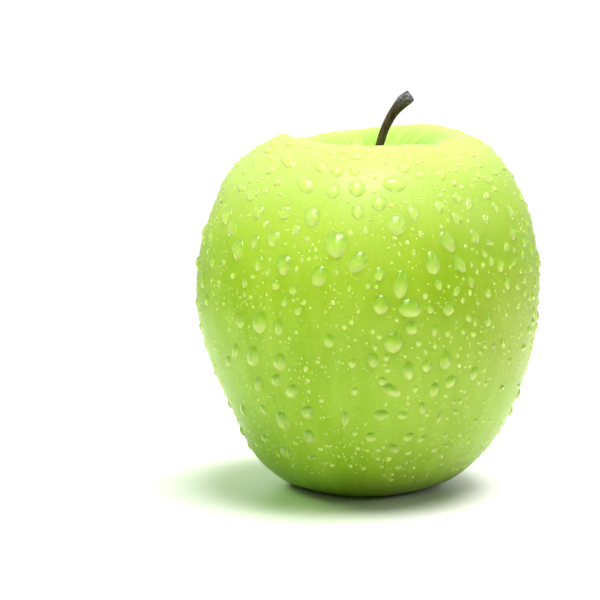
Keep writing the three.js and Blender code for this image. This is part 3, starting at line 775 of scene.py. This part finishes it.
class Drops:
    CELL = 0.004

    def __init__(self):
        self.taken = {}

    def cell(self, p):
        return tuple(int(math.floor(v / self.CELL)) for v in p)

    def free(self, p, size):
        cx, cy, cz = self.cell(p)
        for ix in range(cx - 2, cx + 3):
            for iy in range(cy - 2, cy + 3):
                for iz in range(cz - 2, cz + 3):
                    for q, s in self.taken.get((ix, iy, iz), ()):
                        if (p - q).length < size + s:
                            return False
        return True

    def shape(self, place, normal, along, across, lean, point, seed, rings, sides, angle, sag):
        """Points of one drop, in metres, as (sides, rings + 3, 4): pole on top, rings down to a sunk rim, pole below;
        the fourth number is painted light, brighter towards the drop's lower part.
        """
        n = Vector(normal).normalized()
        a = Vector((0, 0, 1)).cross(n)
        a = a.normalized() if a.length > 1e-3 else Vector((1, 0, 0))
        u = n.cross(a)
        if u.z < 0:
            u, a = -u, -a
        steep = math.sqrt(max(0.0, 1 - n.z ** 2)) if n.z > 0 else 1.0
        big = max(along, across)
        # a smooth patch of the skin under the drop, as a height over the tangent plane
        if big > 0.7:
            rows, rhs = [], []
            for k in range(13):
                rr = 0.0 if k == 0 else (0.6 if k % 2 else 1.1) * big * MM
                t = k * math.pi / 3.0 + (0.4 if k > 6 else 0)
                x, y = rr * math.cos(t), rr * math.sin(t)
                hit = SKIN_BVH.ray_cast(place + a * x + u * y + n * 0.004, -n, 0.009)
                if hit[0] is None:
                    continue
                rows.append((1, x, y, x * x, x * y, y * y))
                rhs.append((hit[0] - place).dot(n))
            if len(rows) < 9:
                return None
            fit, res, _, _ = np.linalg.lstsq(np.array(rows), np.array(rhs), rcond=None)
        else:
            fit = np.array([0, 0, 0, -1 / 0.084, 0, -1 / 0.084])
        lean = math.radians(lean)
        cl, sl = math.cos(lean), math.sin(lean)
        mean = math.sqrt(along * across)
        th = math.radians(angle)
        high = (0.65 * min(along, across) + 0.35 * mean) * math.tan(th / 2)
        sink = 0.05 + 0.035 * big
        n_, a_, u_, o_ = (np.array(v) for v in (n, a, u, place))
        f = np.arange(sides) / sides * 2 * math.pi
        cx, cy = np.cos(f), np.sin(f)
        w = seed * 2.399
        wob = 1 + 0.030 * np.sin(2 * f + w) + 0.022 * np.sin(3 * f + 1.7 * w) + 0.010 * np.sin(5 * f + 2.3 * w)
        ox = across * cx * wob * (1 - 1.15 * point * cy * (0.4 + 0.6 * np.abs(cx)))
        oy = along * cy * wob
        j = np.arange(rings + 2)
        rho = np.sin(np.minimum(j, rings) / rings * math.pi / 2) if rings > 3 else np.minimum(j, rings) / rings
        rho[-1] = 0.99
        x0, y0 = ox[:, None] * rho, oy[:, None] * rho
        x, y = x0 * cl + y0 * sl, -x0 * sl + y0 * cl
        c = 1 / math.sin(th)
        cap = (np.sqrt(c * c - np.minimum(rho, 1) ** 2) - math.sqrt(c * c - 1)) / (c - math.sqrt(c * c - 1))
        h = high * cap * (1 - sag * steep * y / big * (1.0 - 0.25 * rho)) - 0.012
        h = h + 0.02 * high * np.sin(x * 1.3 + w) * np.sin(y * 1.1 + 2 * w) * (1 - rho)
        h[:, -1] = -sink
        X, Y = x * MM, y * MM
        base = fit[0] + fit[1] * X + fit[2] * Y + fit[3] * X * X + fit[4] * X * Y + fit[5] * Y * Y
        P = np.zeros((sides, rings + 3, 4))
        P[:, :rings + 2, :3] = o_ + a_ * X[..., None] + u_ * Y[..., None] + n_ * (base + h * MM)[..., None]
        # painted light: small drops, drops facing down and the lower part of each drop are painted brighter
        painted_light_lift = (0.02 if big > 1.2 else 0.16 if big > 0.8 else 0.28 if big > 0.42 else 0.30) + 0.22 * max(0.0, -n.z)
        P[:, :rings + 2, 3] = np.clip(0.45 - 0.62 * y / max(along, 0.01) * (0.35 + 0.65 * steep) + painted_light_lift, 0, 1)
        P[:, 0] = P[:, 0].mean(0)
        P[:, rings + 2] = P[:, rings + 1].mean(0)
        return P

    def add(self, into, place, normal, along, across, lean, point, seed, sag=0.17, angle=None):
        big = max(along, across)
        if big > 1.5:
            rings, sides, ang = 11, 40, 51
        elif big > 0.8:
            rings, sides, ang = 7, 26, 52
        elif big > 0.42:
            rings, sides, ang = 4, 16, 54
        else:
            rings, sides, ang = 3, 9, 56
        P = self.shape(place, normal, along, across, lean, point, seed, rings, sides, angle or ang, sag)
        if P is None or P[..., 2].min() < 0.0003:
            return False
        into.append(P)
        self.taken.setdefault(self.cell(place), []).append((place, big * MM))
        return True


def make_drops():
    rng = np.random.default_rng(20260)
    drops = Drops()
    large, medium, small, mist = [], [], [], []
    k = 0
    for row in FRONT_DROPS.replace("\n", " ").split(";"):
        b, e, along, across, lean, point = (float(v) for v in row.split())
        hit = land(b, e)
        k += 1
        if hit is None:
            continue
        big = max(along, across)
        drops.add(large if big > 1.5 else medium if big > 0.8 else small, hit[0], hit[1], along, across, lean, point, k)

    def scatter(count, low, high, into, front, gap, power=1.6, tries=12):
        nonlocal k
        for _ in range(count):
            size = low + (high - low) * rng.random() ** power
            for _ in range(tries):
                z = rng.uniform(-0.93, 0.97)
                b, e = rng.uniform(0, 360), math.degrees(math.asin(z))
                facing = (192 < b < 348) and e < 62
                if facing != front or (low > 1.2 and (min(abs(b - 180), b, 360 - b) < 24 or e > 42)):
                    continue
                hit = land(b, e)
                if hit is None or hit[0].z < 0.006 or hit[1].z < -0.80:
                    continue
                # few drops reach down inside the stem's hollow
                if math.hypot(hit[0].x - SHIFT[0] * MM, hit[0].y - SHIFT[1] * MM) < 0.0205 and hit[0].z > 0.05:
                    continue
                # fewer on the middle of the front, and on the lower belly
                if front and noise.noise(Vector((b * 0.055, e * 0.06, 2.0))) * 0.9 + (0.25 if abs(b - 262) < 14 and -25 < e < 14 else 0) > rng.uniform(-0.3, 0.6):
                    continue
                stretch = 1 + abs(rng.normal(0, 0.16))
                if not drops.free(hit[0], (size * stretch + gap) * MM):
                    continue
                k += 1
                lean = rng.normal(0, 9)
                if drops.add(into, hit[0], hit[1], size * stretch, size / stretch ** 0.5, lean, rng.normal(0, 0.06), k):
                    break

    scatter(60, 1.5, 2.9, large, False, 0.9)
    scatter(150, 0.8, 1.5, medium, False, 0.5)
    scatter(330, 0.42, 0.8, small, False, 0.30)
    scatter(230, 0.36, 0.62, small, True, 0.22)
    scatter(1500, 0.13, 0.36, mist, False, 0.10, 1.0)
    scatter(1500, 0.11, 0.34, mist, True, 0.08, 1.0)
    return large, medium, small, mist


def water_material(name, clear):
    m = Nodes(name)
    p = m.place()
    low = m.node("ShaderNodeAttribute", attribute_type="GEOMETRY", attribute_name="low").outputs["Fac"]
    low = m.math("ADD", low, m.math("MULTIPLY", m.math("SUBTRACT", m.noise(p, 500.0, 2.0), 0.5), 0.25))
    # painted light: the water's lime colour stands in for light through the drop, painted brighter in its lower half
    # and darker along its upper edge
    colour = m.curve(low, [(0.0, (0.40, 0.66, 0.04)), (0.35, (0.56, 0.84, 0.10)), (0.65, (0.86, 1.0, 0.22)), (1.0, (0.95, 1.0, 0.30))])
    # painted light: drops high on the fruit are painted paler still
    high = m.math("MULTIPLY", m.ramp(m.xyz(p)[2], 0.052, 0.078), 0.55)  # nearer to the light, on paler skin
    colour = m.mix(high, colour, (0.94, 1.0, 0.44))
    rough = m.ramp(m.noise(p, 260.0, 2.0), 0.35, 0.65, 0.0, 0.02)
    ripple = m.bump(m.noise(p, 500.0, 1.0, 0.4), 0.008, 0.0001)
    m.set(Base_Color=colour, Roughness=rough, Normal=ripple)
    m.bsdf.inputs["Transmission Weight"].default_value = clear
    m.bsdf.inputs["Coat Weight"].default_value = 0.25
    m.bsdf.inputs["Coat Roughness"].default_value = 0.03
    m.bsdf.inputs["Coat IOR"].default_value = 1.5
    m.bsdf.inputs["IOR"].default_value = 1.33
    return m.mat


# the finer the drops, the less clear they are, so more of their painted light shows and they look paler
for name, clear, parts in zip(("drops_large", "drops_medium", "drops_small", "drops_mist"), (0.60, 0.56, 0.46, 0.48), make_drops()):
    ob = joined(name, parts)
    ob.data.materials.append(water_material(name + "_material", clear))
    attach(ob, "root")
    print("DROPS", name, len(parts), len(ob.data.polygons))

# ------------------------------------------------------------------ stage, camera and light


def make_stage():
    me = bpy.data.meshes.new("studio_floor")
    n, R = 96, 0.215
    verts = [(0, 0, 0)] + [(R * math.cos(2 * math.pi * i / n), R * math.sin(2 * math.pi * i / n), 0) for i in range(n)]
    me.from_pydata(verts, [], [(0, 1 + i, 1 + (i + 1) % n) for i in range(n)])
    me.update()
    ob = bpy.data.objects.new("studio_floor", me)
    bpy.context.scene.collection.objects.link(ob)
    m = Nodes("studio_floor_material")
    p = m.place()
    m.set(Base_Color=m.mix(m.noise(p, 3.0, 2.0), (0.86, 0.86, 0.86), (0.88, 0.88, 0.88)),
          Roughness=m.ramp(m.noise(p, 60.0, 2.0), 0.3, 0.7, 0.32, 0.36))
    ob.data.materials.append(m.mat)
    return ob


floor = make_stage()

# The camera stands in front of the fruit, a little above it, and looks past its left side.
EYE_DISTANCE = 0.700
EYE_ELEVATION = math.radians(9.0)
FOCUS = Vector(((SHIFT[0]) * MM, SHIFT[1] * MM, 0.040))
PIXELS_PER_RADIAN = 3010.0


def make_camera():
    cam = bpy.data.objects.new("camera", bpy.data.cameras.new("camera"))
    bpy.context.scene.collection.objects.link(cam)
    pos = FOCUS + EYE_DISTANCE * Vector((0, -math.cos(EYE_ELEVATION), math.sin(EYE_ELEVATION)))
    ahead = (FOCUS - pos).normalized()
    right = Vector((1, 0, 0))
    up = right.cross(ahead)
    ahead = (ahead - right * (72.3 / PIXELS_PER_RADIAN) + up * (13.46 / PIXELS_PER_RADIAN)).normalized()
    right = ahead.cross(Vector((0, 0, 1))).normalized()
    up = right.cross(ahead)
    from mathutils import Matrix
    rot = Matrix((right, up, -ahead)).transposed()
    cam.matrix_world = Matrix.Translation(pos) @ rot.to_4x4()
    cam.data.sensor_fit = "HORIZONTAL"
    cam.data.sensor_width = 36.0
    cam.data.lens = PIXELS_PER_RADIAN * 36.0 / 600.0
    cam.data.clip_start, cam.data.clip_end = 0.01, 50.0
    cam.data.dof.use_dof = False
    bpy.context.scene.camera = cam


make_camera()


def area(name, loc, aim, size, watts, colour=(1, 1, 1), size_y=None, only=None):
    data = bpy.data.lights.new(name, "AREA")
    data.shape = "RECTANGLE" if size_y else "DISK"
    data.size = size
    if size_y:
        data.size_y = size_y
    data.energy = watts
    data.color = colour
    ob = bpy.data.objects.new(name, data)
    ob.location = loc
    ob.rotation_euler = (Vector(aim) - Vector(loc)).to_track_quat("-Z", "Y").to_euler()
    bpy.context.scene.collection.objects.link(ob)
    ob.visible_transmission = False  # water is lit through the world's own overhead glow, which is free of noise
    if only:
        group = bpy.data.collections.new(name + "_receivers")
        for o in only:
            group.objects.link(o)
        ob.light_linking.receiver_collection = group
    return ob


wet_apple = [o for o in bpy.data.objects if o.type == "MESH" and o.name.startswith(("apple_", "stem_", "calyx_", "drops_"))]
area("softbox_front", (-0.01, -0.21, 0.79), (0, 0, 0.04), 0.50, 8.3, size_y=0.34, only=wet_apple)
area("softbox_low", (-0.10, -0.55, 0.66), (0, 0, 0.05), 0.34, 1.5, size_y=0.18, only=wet_apple)
area("softbox_rear", (0.40, 0.22, 0.72), (0, 0, 0.03), 0.42, 2.0).visible_glossy = False
area("panel_right", (0.80, -0.08, 0.38), (0, 0, 0.05), 0.30, 1.05, size_y=0.30)
area("card_left", (-0.52, -0.42, 0.04), (0, 0, 0.02), 0.36, 1.15, (0.92, 1.0, 0.70), size_y=0.36, only=wet_apple).visible_glossy = False
# the floor has the same soft light from overhead, a little further back, and the green light that the fruit throws to the left
area("floor_top", (0.14, 0.02, 0.78), (0, 0, 0), 0.46, 12.5, size_y=0.56, only=[floor])
area("floor_glow", (-0.34, 0.15, 0.27), (-0.03, -0.01, 0), 0.16, 1.05, (0.56, 1.0, 0.30), size_y=0.10, only=[floor])


def make_world():
    """White behind and all round for the camera, dim in front for reflections, an overhead glow for light in water."""
    world = bpy.data.worlds.new("studio")
    bpy.context.scene.world = world
    world.use_nodes = True
    nt = world.node_tree
    nt.nodes.clear()
    link = nt.links.new

    def strength(x, lo, hi, a, b):
        r = nt.nodes.new("ShaderNodeMapRange")
        r.interpolation_type = "SMOOTHSTEP"
        for k, v in zip(("From Min", "From Max", "To Min", "To Max"), (lo, hi, a, b)):
            r.inputs[k].default_value = v
        link(x, r.inputs["Value"])
        return r.outputs["Result"]

    def maths(op, a, b):
        m = nt.nodes.new("ShaderNodeMath")
        m.operation = op
        for i, v in enumerate((a, b)):
            if isinstance(v, bpy.types.NodeSocket):
                link(v, m.inputs[i])
            else:
                m.inputs[i].default_value = v
        return m.outputs[0]

    coord = nt.nodes.new("ShaderNodeTexCoord")
    sep = nt.nodes.new("ShaderNodeSeparateXYZ")
    link(coord.outputs["Generated"], sep.inputs[0])
    path = nt.nodes.new("ShaderNodeLightPath")
    plain = strength(sep.outputs["Y"], -0.25, 0.75, 0.05, 0.75)
    glow = maths("ADD", strength(sep.outputs["Z"], 0.15, 0.85, 0.10, 4.4), strength(sep.outputs["Y"], 0.0, 0.6, 0.0, 0.95))
    water = maths("MULTIPLY", path.outputs["Is Transmission Ray"], 1.0)
    mixed = maths("ADD", maths("MULTIPLY", plain, maths("SUBTRACT", 1.0, water)), maths("MULTIPLY", glow, water))
    seen = path.outputs["Is Camera Ray"]
    total = maths("ADD", maths("MULTIPLY", mixed, maths("SUBTRACT", 1.0, seen)), maths("MULTIPLY", 1.05, seen))
    bg = nt.nodes.new("ShaderNodeBackground")
    link(total, bg.inputs["Strength"])
    bg.inputs["Color"].default_value = (1, 1, 1, 1)
    out = nt.nodes.new("ShaderNodeOutputWorld")
    link(bg.outputs[0], out.inputs[0])


make_world()
sc = bpy.context.scene
sc.view_settings.view_transform = "Standard"
sc.view_settings.look = "None"
sc.cycles.use_denoising = True
